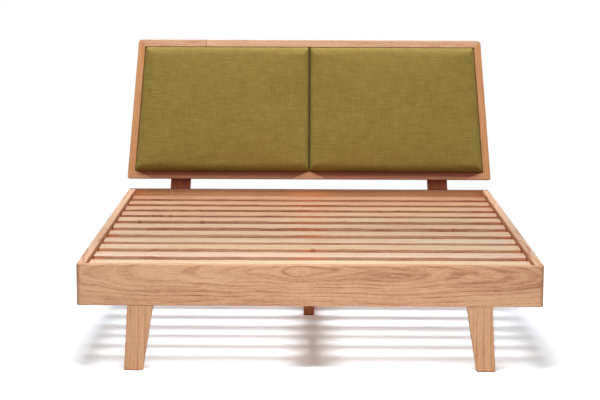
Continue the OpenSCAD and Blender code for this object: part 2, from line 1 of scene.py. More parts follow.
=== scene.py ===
# Platform bed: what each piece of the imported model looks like, its floor, light and camera
import math
from collections import namedtuple

import bpy
from mathutils import Matrix, Vector


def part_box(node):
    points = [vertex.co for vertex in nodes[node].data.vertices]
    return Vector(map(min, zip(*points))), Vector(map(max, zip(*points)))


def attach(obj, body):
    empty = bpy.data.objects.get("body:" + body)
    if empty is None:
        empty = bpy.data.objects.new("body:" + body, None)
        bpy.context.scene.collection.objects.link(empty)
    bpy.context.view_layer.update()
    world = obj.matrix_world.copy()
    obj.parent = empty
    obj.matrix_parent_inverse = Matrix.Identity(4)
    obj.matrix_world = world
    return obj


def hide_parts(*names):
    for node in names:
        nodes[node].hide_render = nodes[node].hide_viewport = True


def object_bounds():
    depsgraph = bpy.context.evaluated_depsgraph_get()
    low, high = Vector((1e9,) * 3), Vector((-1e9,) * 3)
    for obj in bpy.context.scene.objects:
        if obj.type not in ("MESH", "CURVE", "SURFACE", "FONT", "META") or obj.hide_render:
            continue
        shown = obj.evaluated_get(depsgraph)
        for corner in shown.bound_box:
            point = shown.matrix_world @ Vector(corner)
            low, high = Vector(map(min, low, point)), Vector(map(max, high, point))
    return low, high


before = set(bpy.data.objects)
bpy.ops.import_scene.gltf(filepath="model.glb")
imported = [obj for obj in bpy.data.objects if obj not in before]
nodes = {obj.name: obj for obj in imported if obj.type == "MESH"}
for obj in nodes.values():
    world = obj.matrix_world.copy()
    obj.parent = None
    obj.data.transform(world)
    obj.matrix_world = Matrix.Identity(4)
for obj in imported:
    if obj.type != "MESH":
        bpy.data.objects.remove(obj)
cad_box = [list(corner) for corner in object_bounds()]

# Directions. The headboard leans back by RAKE from the top of the head rail, and its sides lean in by LEAN
X = Vector((1, 0, 0))
Y = Vector((0, 1, 0))
Z = Vector((0, 0, 1))
RAKE = math.radians(12)
LEAN = math.radians(4.1)
UPHILL = Vector((0, math.sin(RAKE), math.cos(RAKE)))
FORWARD = Vector((0, -math.cos(RAKE), math.sin(RAKE)))
RAIL_TOP = 0.370
HEAD_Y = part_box("head_rail")[1].y
BED_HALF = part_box("foot_rail")[1].x
SIDES = (("left", -1), ("right", 1))
SLAT_COUNT = 11
WHITE = (1, 1, 1, 1)

# Headboard and pads, in metres. All but the gap are as in the CAD source: cloth nearly closes the gap
FRAME_LOW = 0.042
FRAME_LENGTH = 0.624
FRAME_HIGH = FRAME_LOW + FRAME_LENGTH
FRAME_OVER = 0.008
MEMBER_W = 0.031
MEMBER_T = 0.032
PANEL_T = 0.009
BOARD_T = 0.012
PAD_PLAY = 0.0015
PAD_SEAT = 0.0003
PAD_HALF_GAP = 0.0008
PAD_PROUD = 0.031


# Node graphs

class Graph:
    """The nodes of a new material or world, made by short calls that take sockets or plain values."""

    def __init__(self, owner):
        self.owner = owner
        self.owner.use_nodes = True
        self.tree = self.owner.node_tree
        self.tree.nodes.clear()

    def node(self, kind, inputs=None, **settings):
        """A shader node with its settings, and its inputs by name or number."""
        made = self.tree.nodes.new("ShaderNode" + kind)
        for key, value in settings.items():
            setattr(made, key, value)
        for key, value in (inputs or {}).items():
            if isinstance(value, bpy.types.NodeSocket):
                self.tree.links.new(value, made.inputs[key])
            else:
                made.inputs[key].default_value = value
        return made

    def maths(self, operation, *values):
        return self.node("Math", dict(enumerate(values)), operation=operation).outputs[0]

    def vector(self, operation, *values):
        made = self.node("VectorMath", dict(enumerate(values)), operation=operation)
        return made.outputs["Value" if operation in ("DOT_PRODUCT", "LENGTH") else "Vector"]

    def along(self, place, direction, start=0.0):
        """How far a place is along a direction, counted from start."""
        return self.maths("SUBTRACT", self.vector("DOT_PRODUCT", place, tuple(direction)), start)

    def facing(self, direction):
        """How squarely the surface faces a direction: 1 at it, and -1 away from it."""
        return self.along(self.node("NewGeometry").outputs["Normal"], direction)

    def noise(self, place, stretch, detail=2.0, roughness=0.5):
        """Noise whose features are as many to the metre along each axis as stretch says."""
        scaled = self.vector("MULTIPLY", place, stretch)
        return self.node("TexNoise", {"Vector": scaled, "Scale": 1.0, "Detail": detail,
                                      "Roughness": roughness}).outputs[0]

    def ring_noise(self, radius, scale, detail):
        """Noise by the distance from the pith, scale features to the metre."""
        return self.node("TexNoise", {"W": radius, "Scale": scale, "Detail": detail, "Roughness": 0.6},
                         noise_dimensions="1D").outputs[0]

    def remap(self, value, low, high, new_low=0.0, new_high=1.0):
        return self.node("MapRange", {"Value": value, "From Min": low, "From Max": high,
                                      "To Min": new_low, "To Max": new_high}).outputs[0]

    def sum(self, *shares):
        """Sum of socket times strength over pairs of them."""
        total = 0.0
        for value, strength in shares:
            total = self.maths("MULTIPLY_ADD", value, strength, total)
        return total

    def ramp(self, value, stops):
        made = self.node("ValToRGB", {"Fac": value})
        elements = made.color_ramp.elements
        while len(elements) < len(stops):
            elements.new(0.5)
        for element, (position, colour) in zip(elements, stops):
            element.position = position
            element.color = linear(colour)
        return made.outputs["Color"]

    def mix(self, share, first, second, blend="MIX"):
        made = self.node("Mix", data_type="RGBA", blend_type=blend)
        for socket, value in zip((made.inputs[0], made.inputs[6], made.inputs[7]), (share, first, second)):
            if isinstance(value, bpy.types.NodeSocket):
                self.tree.links.new(value, socket)
            else:
                socket.default_value = value
        return made.outputs[2]

    def bump(self, height, strength, distance, edge_radius):
        """Normal that follows a height, on edges that look softened."""
        edge = self.node("Bevel", {"Radius": edge_radius}, samples=4).outputs["Normal"]
        return self.node("Bump", {"Height": height, "Strength": strength, "Distance": distance,
                                  "Normal": edge}).outputs["Normal"]

    def seen(self):
        """One on the rays that show the background: the camera's, and those by way of metal and glass."""
        path = self.node("LightPath")
        by_metal = self.maths("MAXIMUM", path.outputs["Is Camera Ray"], path.outputs["Is Glossy Ray"])
        return self.maths("MAXIMUM", by_metal, path.outputs["Is Transmission Ray"])

    def finish(self, shader, kind="Material"):
        output = self.node("Output" + kind)
        self.tree.links.new(shader, output.inputs["Surface"])
        return self.owner


def new_material(name):
    """Nodes of a new material. Their finish gives the material."""
    return Graph(bpy.data.materials.new(name))


def linear(colour):
    """Linear colour of an 8-bit one, as a screen shows it."""
    channels = [c / 255 for c in colour]
    return tuple(c / 12.92 if c <= 0.04045 else ((c + 0.055) / 1.055) ** 2.4 for c in channels) + (1,)


def on_headboard(across, slope, depth):
    """Point at a place across the headboard, up its slope and out from the panel's back."""
    return Vector((across, HEAD_Y, RAIL_TOP)) + UPHILL * slope + FORWARD * depth


# Wood. A look holds pale, middle and dark colours, how strong the growth rings and the fibres are, and its
# shade. A shade holds what the colour is multiplied by where other wood shuts light out, and how near that
# wood has to be. It is full where the share of open air is FULL_SHADE
Look = namedtuple("Look", "pale middle dark rings fibres shade")
Shade = namedtuple("Shade", "tint reach")
FULL_SHADE = 0.45
LIGHT_SHADE = Shade((250, 238, 230), 0.04)
RAIL_SHADE = Shade((205, 140, 104), 0.08)
SIDE_RAIL_SHADE = Shade((236, 206, 186), 0.05)
HEAD_RAIL_SHADE = Shade((188, 173, 165), 0.04)
CENTRE_LEG_SHADE = Shade((235, 190, 160), 0.08)
POST_SHADE = Shade((144, 66, 30), 0.12)
BOTTOM_SHADE = Shade((134, 74, 32), 0.04)
RAIL_LOOK = Look((234, 185, 143), (214, 159, 120), (169, 106, 70), 0.8, 0.6, RAIL_SHADE)
# The side rails' look is paler than the foot rail's: painted light for their tops, which face the lamps
SIDE_RAIL_LIT_LOOK = Look((240, 196, 158), (224, 174, 138), (182, 120, 84), 0.8, 0.6, SIDE_RAIL_SHADE)
# The head rail's look is darker and redder than the foot rail's: painted shade for its place under the
# headboard
HEAD_RAIL_SHADED_LOOK = Look((230, 170, 118), (214, 146, 98), (172, 104, 64), 0.7, 0.5, HEAD_RAIL_SHADE)
LEG_LOOK = Look((228, 178, 136), (210, 154, 112), (168, 108, 70), 0.55, 0.6, LIGHT_SHADE)
# The centre leg's look is darker and redder than the legs': painted shade for its place under the bed
CENTRE_LEG_SHADED_LOOK = Look((229, 152, 112), (213, 132, 92), (173, 96, 63), 0.8, 0.6, CENTRE_LEG_SHADE)
# The posts' look is darker and redder still: painted shade for their place under the headboard
POST_SHADED_LOOK = Look((222, 142, 80), (204, 114, 56), (164, 80, 34), 0.8, 0.6, POST_SHADE)
# The top member's look is paler than the sides' and the bottom's: painted light for the top of the headboard
TOP_LIT_LOOK = Look((232, 190, 158), (220, 172, 138), (184, 124, 92), 0.8, 0.7, LIGHT_SHADE)
SIDE_LOOK = Look((221, 165, 116), (205, 146, 97), (170, 107, 63), 0.8, 0.6, LIGHT_SHADE)
BOTTOM_LOOK = Look((222, 170, 128), (202, 142, 102), (166, 106, 72), 0.8, 0.5, BOTTOM_SHADE)
SUPPORT_LOOK = Look((230, 182, 138), (214, 160, 118), (178, 120, 82), 0.8, 0.5, LIGHT_SHADE)
DOWEL_LOOK = Look((236, 206, 166), (222, 186, 142), (186, 146, 104), 0.6, 0.5, LIGHT_SHADE)
FOOT_SLAT_LOOK = Look((247, 226, 195), (240, 207, 173), (206, 149, 117), 1.0, 0.9, LIGHT_SHADE)
# The slat at the head has these colours, and the slats go over to them from the foot: painted shade
HEAD_SLAT_SHADED_COLOURS = [(218, 170, 132), (202, 146, 110), (168, 106, 74)]

# What the colour is multiplied by on narrow faces: redder on the slats, which is partly their edge grain and
# partly painted shade on their fronts, and darker on the head rail, which is painted shade for its top
SLAT_EDGE_GRAIN_AND_SHADE = (242, 213, 202)
HEAD_RAIL_EDGE_SHADE = (132, 126, 126)

# Where the top member is glued from two lengths, and what lies beyond the joint comes from further up the log
TOP_JOINT = -0.462
JOINT_BROWN = (96, 56, 36)
FURTHER_UP = 1.7

# Dark marks at the front edges of some slats, as (along, radius)
SLAT_FRONT = -0.049
SLAT_KNOTS = {
    3: [(0.012, 0.003)],
    6: [(0.561, 0.003)],
    7: [(-0.679, 0.002), (-0.428, 0.003)],
    8: [(-0.635, 0.002), (-0.607, 0.002), (-0.566, 0.002)],
}

# Shade under the headboard and under the pads: how far it reaches down the head rail, how steeply light comes
# past the pads' corners, how wide its edge is there, and the share that is left of the shade from near wood
SHADE_FADE = 0.027
CORNER_SLANT = 2.3
CORNER_BLUR = 0.012
NEAR_SHARE = 0.3


def below_headboard(g, shut_in, length, width):
    """Shade on the head rail: it falls off below the rail's top, which lies under the headboard."""
    low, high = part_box("head_rail")
    half = (high.z - low.z) / 2
    fading = g.remap(width, half - SHADE_FADE, half)
    return g.maths("MAXIMUM", fading, g.maths("MULTIPLY", shut_in, NEAR_SHARE))


def below_pads(g, shut_in, length, width):
    """Shade on the front of the bottom member: light falls slantwise past the corners of the pads."""
    outer = pad_edges(FRAME_LOW + MEMBER_W)[1]
    beside = g.maths("ABSOLUTE", length)
    inwards = g.maths("MINIMUM", beside, g.maths("SUBTRACT", outer, beside))
    down = g.maths("SUBTRACT", MEMBER_W / 2, width)
    covered = g.remap(g.sum((down, -CORNER_SLANT), (inwards, 1.0)), 0.0, CORNER_BLUR)
    # Full on the upper third of the member, and weaker down to its lower edge
    fading = g.remap(down, MEMBER_W, 0.3 * MEMBER_W, 0.4, 1.0)
    front = g.remap(g.facing(FORWARD), 0.3, 0.7)
    under = g.maths("MULTIPLY", g.maths("MULTIPLY", covered, fading), front)
    return g.maths("MAXIMUM", under, g.maths("MULTIPLY", shut_in, NEAR_SHARE))


def knot_spots(g, length, width, knots):
    """Dark spots, drawn out along the wood, which fade out at three times the radius of their knot."""
    spots = 0.0
    for knot_along, knot_across, radius in knots:
        away = g.node("CombineXYZ", {
            "X": g.maths("MULTIPLY", g.maths("SUBTRACT", length, knot_along), 0.7),
            "Y": g.maths("SUBTRACT", width, knot_across),
        }).outputs[0]
        spots = g.maths("MAXIMUM", spots, g.remap(g.vector("LENGTH", away), 3 * radius, 0.0))
    return spots


def growth_rings(g, grain, spots):
    """Late wood and thin lines, by the distance from the pith, which sways and swells round knots."""
    wide = g.vector("MULTIPLY", grain, (2.2, 6.0, 6.0))
    sway = g.node("TexNoise", {"Vector": wide, "Scale": 1.0, "Detail": 2.0}).outputs["Color"]
    shift = g.vector("MULTIPLY", g.vector("SUBTRACT", sway, (0.5, 0.5, 0.5)), (0, 0.045, 0.045))
    radius = g.vector("LENGTH", g.vector("MULTIPLY", g.vector("ADD", grain, shift), (0, 1, 1)))
    radius = g.sum((radius, 1.0), (spots, 0.012), (g.noise(grain, (14, 90, 90)), 0.003))
    late = g.maths("POWER", g.remap(g.ring_noise(radius, 85.0, 3.0), 0.42, 0.68), 1.3)
    broken = g.remap(g.noise(grain, (8, 60, 60)), 0.36, 0.60, 0.4, 1.0)
    lines = g.maths("MULTIPLY", g.remap(g.ring_noise(radius, 210.0, 2.0), 0.46, 0.64), broken)
    return late, lines


def wood(node, look, along, across, pith, start, drift=0.0, bow=0.0, knots=(), joint=None, edge=None,
         cast=None):
    """Wood with growth rings round a pith, cut from the log at start metres up.

    The pith lies beside the middle of the node by pith = (across, out). It drifts outwards by drift over a
    metre, and bends outwards to both ends by bow, which makes arcs and ovals on the face of a board. Knots
    are (along, across, radius) from the node's middle. Joint is how far along the wood is glued from two
    parts. Edge is what the colour is multiplied by on the faces that lie across the wide one, which is
    painted shade on the head rail and partly painted shade on the slats. Cast is a function that changes how
    much painted shade falls where.
    """
    low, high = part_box(node)
    out = along.cross(across)
    g = new_material(node + "_wood")
    place = g.vector("SUBTRACT", g.node("TexCoord").outputs["Object"], tuple((low + high) / 2))
    length = g.along(place, along)
    width = g.along(place, across)
    height = g.along(place, out)
    beyond_joint = 0.0 if joint is None else g.maths("LESS_THAN", length, joint)
    pith_out = g.sum((g.maths("MULTIPLY", length, length), bow), (length, drift), (1.0, pith[1]))
    grain = g.node("CombineXYZ", {
        "X": g.sum((length, 1.0), (1.0, start), (beyond_joint, FURTHER_UP)),
        "Y": g.maths("SUBTRACT", width, pith[0]),
        "Z": g.maths("SUBTRACT", height, pith_out),
    }).outputs[0]

    spots = knot_spots(g, length, width, knots)
    late, lines = growth_rings(g, grain, spots)
    fibre = g.noise(grain, (9, 240, 240), 4.0, 0.7)
    flecks = g.noise(grain, (70, 330, 330), 2.0, 0.6)
    broad = g.noise(grain, (1.5, 10, 10))
    pores = g.remap(g.noise(grain, (38, 800, 800), 1.0), 0.60, 0.70)
    tone = g.sum(
        (late, 0.38 * look.rings),
        (lines, 0.60 * look.rings),
        (g.remap(fibre, 0.3, 0.7, -0.5, 0.5), look.fibres),
        (g.remap(flecks, 0.3, 0.7, -0.5, 0.5), 0.6 * look.fibres),
        (g.remap(broad, 0.3, 0.7, -0.05, 0.35), 1.0),
        (beyond_joint, 0.15),
        (spots, 1.2),
    )
    colour = g.ramp(tone, [(0.0, look.pale), (0.45, look.middle), (1.0, look.dark)])
    colour = g.mix(g.maths("MULTIPLY", pores, 0.30), colour, linear(look.dark))
    if joint is not None:
        line = g.remap(g.maths("ABSOLUTE", g.maths("SUBTRACT", length, joint)), 0.0018, 0.0006)
        colour = g.mix(g.maths("MULTIPLY", line, 0.8), colour, linear(JOINT_BROWN))
    # Painted shade on the narrow faces: wholly on the head rail, and in part on the slats
    if edge is not None:
        narrow = g.remap(g.maths("ABSOLUTE", g.facing(out)), 0.8, 0.5)
        colour = g.mix(narrow, colour, linear(edge), "MULTIPLY")
    open_air = g.node("AmbientOcclusion", {"Distance": look.shade.reach}, samples=12).outputs["AO"]
    shut_in = g.remap(open_air, 1.0, FULL_SHADE)
    if cast is not None:
        shut_in = cast(g, shut_in, length, width)

    surface = g.node("BsdfPrincipled", {
        "Base Color": g.mix(shut_in, colour, linear(look.shade.tint), "MULTIPLY"),
        "Roughness": g.remap(fibre, 0.2, 0.8, 0.44, 0.60),
        "Specular IOR Level": 0.4,
        "Normal": g.bump(g.sum((fibre, 0.5), (pores, -1.0), (late, -0.3)), 0.35, 0.0003, 0.0012),
    })
    return g.finish(surface.outputs["BSDF"])


def give(node, material):
    """Puts a material on the whole of a CAD node."""
    for place in nodes[node].material_slots:
        place.material = material


def dress(node, *cut, **features):
    """Gives a node wood of its own. The arguments after it are wood's."""
    give(node, wood(node, *cut, **features))


def slat_look(i):
    """Slats darken from the foot towards the head, which is painted shade for the headboard's shadow and the
    weaker light there, and each has a slight tint of its own.
    """
    share = ((i - 1) / (SLAT_COUNT - 1)) ** 2
    tint = (1, 1 + 0.008 * math.sin(2.1 * i), 1 + 0.025 * math.cos(3.3 * i))
    colours = [tuple(min((a + (b - a) * share) * c, 255) for a, b, c in zip(near, far, tint))
               for near, far in zip(FOOT_SLAT_LOOK[:3], HEAD_SLAT_SHADED_COLOURS)]
    return Look(*colours, *FOOT_SLAT_LOOK[3:])


def dress_wood():
    """Each piece's look, the directions along and across it, its pith and its place in the log."""
    dress("foot_rail", RAIL_LOOK, X, Z, (0.045, 0.06), 3.1, bow=0.05)
    dress("head_rail", HEAD_RAIL_SHADED_LOOK, X, Z, (-0.09, 0.05), 7.7, edge=HEAD_RAIL_EDGE_SHADE, cast=below_headboard)
    dress("centre_beam", SUPPORT_LOOK, Y, X, (0.03, 0.06), 1.9)
    dress("centre_leg", CENTRE_LEG_SHADED_LOOK, Z, X, (0.05, 0.12), 5.2)
    dress("mitre_dowels", DOWEL_LOOK, X, Z, (0.3, 0.5), 2.2)
    dress("headboard_top", TOP_LIT_LOOK, X, UPHILL, (-0.04, 0.05), 10.5, joint=TOP_JOINT)
    dress("headboard_bottom", BOTTOM_LOOK, X, UPHILL, (-0.04, 0.05), 11.5, cast=below_pads)
    for k, end in enumerate(("foot", "head")):
        dress("beam_cradle_" + end, SUPPORT_LOOK, X, Z, (0.02, 0.06), 2.3 + k)
    for k, (name, side) in enumerate(SIDES):
        up_the_side = UPHILL * math.cos(LEAN) - X * side * math.sin(LEAN)
        dress("side_rail_" + name, SIDE_RAIL_LIT_LOOK, Y, Z, (-0.11, 0.06), 4.1 + 3 * k, bow=0.03)
        dress("slat_ledge_" + name, SUPPORT_LOOK, Y, Z, (0.05, 0.07), 0.7 + 2 * k)
        dress("front_leg_" + name, LEG_LOOK, Z, X, (0.16, 0.08), 6.4 + k)
        dress("rear_post_" + name, POST_SHADED_LOOK, Z, X, (0.09, 0.06), 8.3 + k)
        dress("headboard_side_" + name, SIDE_LOOK, up_the_side, X, (0.06, 0.03), 9.1 + k)
    for i in range(1, SLAT_COUNT + 1):
        pith = (0.07 * math.sin(2.4 * i), 0.03 + 0.02 * math.cos(1.7 * i))
        knots = [(along, SLAT_FRONT, radius) for along, radius in SLAT_KNOTS.get(i, [])]
        dress("slat_%d" % i, slat_look(i), X, Y, pith, 1.37 * i, drift=0.02, knots=knots, edge=SLAT_EDGE_GRAIN_AND_SHADE)


# Plywood, metals and felt

# Light and dark plies by turns, in pairs
PLY_PAIRS = 3.5
PORE_BROWN = (172, 134, 92)


def plywood(name, thickness, back):
    """Veneer on the faces and plies on the edges. Back is how far out the back of the board lies."""
    g = new_material(name)
    place = g.vector("SUBTRACT", g.node("TexCoord").outputs["Object"], (0, HEAD_Y, RAIL_TOP))
    across = g.along(place, X)
    slope = g.along(place, UPHILL)
    depth = g.along(place, FORWARD, back)
    grain = g.node("CombineXYZ", {"X": across, "Y": slope, "Z": depth}).outputs[0]
    figure = g.noise(grain, (30, 2.2, 5), 4.0, 0.55)
    pores = g.remap(g.noise(grain, (700, 22, 700), 1.0), 0.60, 0.72)
    veneer = g.ramp(figure, [(0.30, (232, 206, 166)), (0.55, (218, 188, 144)), (0.72, (196, 160, 116))])
    veneer = g.mix(g.maths("MULTIPLY", pores, 0.35), veneer, linear(PORE_BROWN))
    ply = g.maths("FRACT", g.maths("MULTIPLY", depth, PLY_PAIRS / thickness))
    plies = g.ramp(ply, [(0.42, (214, 182, 138)), (0.5, (122, 84, 52)), (0.58, (186, 148, 104))])
    on_face = g.maths("GREATER_THAN", g.maths("ABSOLUTE", g.facing(FORWARD)), 0.7)
    surface = g.node("BsdfPrincipled", {
        "Base Color": g.mix(on_face, plies, veneer),
        "Roughness": g.remap(figure, 0.3, 0.7, 0.62, 0.75),
        "Normal": g.bump(g.sum((figure, 0.4), (pores, -1.0)), 0.3, 0.0003, 0.0006),
    })
    return g.finish(surface.outputs["BSDF"])


def metal(name, bright, dull, roughness, grit):
    """Plated or turned metal: cloudy colour, and a grain of grit features to the metre."""
    g = new_material(name)
    place = g.node("TexCoord").outputs["Object"]
    cloud = g.noise(place, (140, 140, 140), 3.0, 0.6)
    scuffs = g.noise(place, (grit, grit, grit * 6), 3.0, 0.7)
    surface = g.node("BsdfPrincipled", {
        "Base Color": g.ramp(cloud, [(0.35, dull), (0.62, bright)]),
        "Metallic": 1.0,
        "Roughness": g.remap(scuffs, 0.3, 0.7, roughness - 0.08, roughness + 0.12),
        "Normal": g.bump(scuffs, 0.25, 0.0001, 0.0004),
    })
    return g.finish(surface.outputs["BSDF"])


def pressed_felt():
    """Dark felt with short hairs."""
    g = new_material("felt")
    place = g.node("TexCoord").outputs["Object"]
    hairs = g.noise(place, (900, 900, 300), 4.0, 0.75)
    surface = g.node("BsdfPrincipled", {
        "Base Color": g.ramp(hairs, [(0.3, (52, 44, 38)), (0.55, (74, 64, 56)), (0.75, (110, 98, 88))]),
        "Roughness": 0.95,
        "Sheen Weight": 0.4,
        "Sheen Roughness": 0.6,
        "Normal": g.bump(hairs, 0.7, 0.0006, 0.0005),
    })
    return g.finish(surface.outputs["BSDF"])


def dress_the_rest():
    """Which finish each fastener, fitting and board has."""
    zinc = metal("zinc_steel", (196, 200, 203), (160, 165, 170), 0.34, 260)
    yellow = metal("yellow_steel", (206, 158, 104), (158, 106, 66), 0.38, 320)
    black = metal("black_steel", (62, 62, 66), (34, 34, 37), 0.42, 420)
    brass = metal("brass", (214, 180, 108), (170, 132, 66), 0.30, 380)
    brackets = ["corner_bracket_%s_%s" % (end, name) for end in ("foot", "head") for name, _ in SIDES]
    finishes = {
        zinc: brackets + ["centre_leg_plate", "centre_leg_stud", "bolt_washers", "headboard_tee_nuts"],
        yellow: ["slat_screws", "ledge_screws", "cradle_screws", "centre_leg_screws", "panel_screws",
                 "pad_screws"],
        black: ["corner_bolts", "leg_bolts", "post_bolts", "headboard_bolts"],
        brass: ["corner_inserts", "leg_inserts", "post_inserts", "headboard_inserts"],
        pressed_felt(): ["foot_glides"],
        plywood("panel_plywood", PANEL_T, 0.0): ["back_panel"],
        plywood("pad_plywood", BOARD_T, PANEL_T): ["pad_board_left", "pad_board_right"],
    }
    for material, names in finishes.items():
        for name in names:
            give(name, material)


# Pads: the edge rolls over an ellipse, ROLL_IN wide at the top and bottom, GAP_ROLL_IN where the pads meet,
# SIDE_ROLL_IN at the outer side and ROLL_UP high, and then the crown rises slowly
PAD_BACK = PANEL_T + BOARD_T + PAD_SEAT
ROLL_IN = 0.040
GAP_ROLL_IN = 0.020
SIDE_ROLL_IN = 0.036
ROLL_UP = 0.026
PAD_CROWN = 0.005
CROWN_REACH = 0.17
# The pads swell in the simulation, by SWELL at most, so they start lower than they end
START_LOW = 0.0015
SWELL = 0.0015
SWELL_FRAMES = 20
WALL_TOP = MEMBER_T + PAD_PROUD - ROLL_UP - PAD_CROWN - START_LOW
# The mesh: steps of a roll, step of the grid between the rolls, how square the corners are, and how high
# above the back the rings of the walls lie
ROLL_STEPS = 7
GRID_STEP = 0.009
CORNER_POWER = 6
WALL_RINGS = (0.006, 0.001, 0.0)


def pad_edges(slope):
    """Inner and outer edge of the right-hand pad at a place up the slope."""
    outer = BED_HALF + FRAME_OVER - (slope - FRAME_LOW) * math.tan(LEAN)
    return PAD_HALF_GAP, outer - (MEMBER_W + PAD_PLAY) / math.cos(LEAN)


def pad_places(between):
    """Places along a side of a pad, as (share of the part between the rolls, how far into a roll)."""
    rolls = [math.sin(math.pi / 2 * k / ROLL_STEPS) for k in range(ROLL_STEPS, 0, -1)]
    count = round(between / GRID_STEP)
    middle = [(k / count, 0.0) for k in range(count + 1)]
    return [(0.0, r) for r in rolls] + middle + [(1.0, r) for r in reversed(rolls)]


def crown(share, between):
    """How much of the crown is reached at a share of the part between the rolls."""
    inwards = min(share, 1 - share) * between
    return 1 - (1 - min(inwards / CROWN_REACH, 1)) ** 2


def pad_front():
    """Grid of points over the front of the right-hand pad, as (across, slope, depth)."""
    low = FRAME_LOW + MEMBER_W + PAD_PLAY
    high = FRAME_HIGH - MEMBER_W - PAD_PLAY
    tall = high - low - 2 * ROLL_IN
    wide = pad_edges((low + high) / 2)[1] - PAD_HALF_GAP - GAP_ROLL_IN - SIDE_ROLL_IN
    grid = []
    for up_share, up_roll in pad_places(tall):
        row = []
        for side_share, side_roll in pad_places(wide):
            most = max(up_roll, side_roll)
            squeeze = 1.0
            if up_roll and side_roll:
                squeeze = most / (up_roll ** CORNER_POWER + side_roll ** CORNER_POWER) ** (1 / CORNER_POWER)
            up_out = up_roll * squeeze * (-ROLL_IN if up_share == 0.0 else ROLL_IN)
            side_out = side_roll * squeeze * (-GAP_ROLL_IN if side_share == 0.0 else SIDE_ROLL_IN)
            slope = low + ROLL_IN + up_share * tall + up_out
            inner, outer = pad_edges(slope)
            inner += GAP_ROLL_IN
            outer -= SIDE_ROLL_IN
            across = inner + side_share * (outer - inner) + side_out
            depth = WALL_TOP + ROLL_UP * math.sqrt(max(1 - most ** 2, 0))
            depth += PAD_CROWN * crown(up_share, tall) * crown(side_share, wide)
            row.append((across, slope, depth))
        grid.append(row)
    return grid


def pad_mesh(side):
    """A closed pad: the front, walls down to the board, and a flat back."""
    grid = pad_front()
    rows, columns = len(grid), len(grid[0])
    rim = [(0, j) for j in range(columns)] + [(i, columns - 1) for i in range(1, rows)]
    rim += [(rows - 1, j) for j in range(columns - 2, -1, -1)] + [(i, 0) for i in range(rows - 2, 0, -1)]
    points = [point for row in grid for point in row]
    faces = [(i * columns + j, i * columns + j + 1, (i + 1) * columns + j + 1, (i + 1) * columns + j)
             for i in range(rows - 1) for j in range(columns - 1)]
    ring = [i * columns + j for i, j in rim]
    edge = [points[k] for k in ring]
    for above in WALL_RINGS:
        start = len(points)
        points += [(across, slope, PAD_BACK + above) for across, slope, _ in edge]
        fresh = list(range(start, start + len(ring)))
        faces += [(ring[k - 1], fresh[k - 1], fresh[k], ring[k]) for k in range(len(ring))]
        ring = fresh
    place_of = dict(zip(rim, ring))
    for i in range(1, rows - 1):
        for j in range(1, columns - 1):
            place_of[i, j] = len(points)
            points.append((grid[i][j][0], grid[i][j][1], PAD_BACK))
    faces += [(place_of[i, j], place_of[i + 1, j], place_of[i + 1, j + 1], place_of[i, j + 1])
              for i in range(rows - 1) for j in range(columns - 1)]
    mesh = bpy.data.meshes.new("pad")
    mesh.from_pydata([on_headboard(side * across, slope, depth) for across, slope, depth in points], [],
                     [face if side > 0 else face[::-1] for face in faces])
    mesh.update()
    return mesh


def swell(pad):
    """Blows the pad up as cloth that is stapled to its board, and keeps it near its own form."""
    still = pad.vertex_groups.new(name="stapled")
    depths = [(vertex.co - on_headboard(0, 0, 0)).dot(FORWARD) for vertex in pad.data.vertices]
    still.add([k for k, depth in enumerate(depths) if depth < WALL_TOP - 0.001], 1.0, "REPLACE")
    before = [vertex.co.copy() for vertex in pad.data.vertices]
    cloth = pad.modifiers.new("cloth", "CLOTH")
    settings = cloth.settings
    settings.quality = 4
    settings.vertex_group_mass = "stapled"
    settings.use_pressure = True
    settings.uniform_pressure_force = 4
    settings.effector_weights.gravity = 0
    settings.tension_stiffness = 20
    settings.compression_stiffness = 20
    settings.shear_stiffness = 8
    settings.bending_stiffness = 0.6
    settings.shrink_min = -0.015
    cloth.collision_settings.use_collision = False
    scene = bpy.context.scene
    for number in range(1, SWELL_FRAMES + 1):
        scene.frame_set(number)
    blown = bpy.data.meshes.new_from_object(pad.evaluated_get(bpy.context.evaluated_depsgraph_get()))
    pad.modifiers.remove(cloth)
    pad.vertex_groups.remove(still)
    for vertex, start, end in zip(pad.data.vertices, before, blown.vertices):
        shift = end.co - start
        if shift.length > 0:
            shift *= SWELL * math.tanh(shift.length / SWELL) / shift.length
        vertex.co = start + shift
    bpy.data.meshes.remove(blown)
    scene.frame_set(1)


# Cloth: the colours of its threads, and what they are multiplied by where it faces down, out and up: painted
# shade, darkest where it faces down, and none where it faces up
CLOTH = [(0.0, (141, 120, 58)), (0.5, (163, 141, 74)), (1.0, (184, 163, 94))]
SHADE_FACING_DOWN = (205, 182, 141)
SHADE_FACING_OUT = (223, 221, 197)
SHADE_FACING_UP = (255, 255, 255)


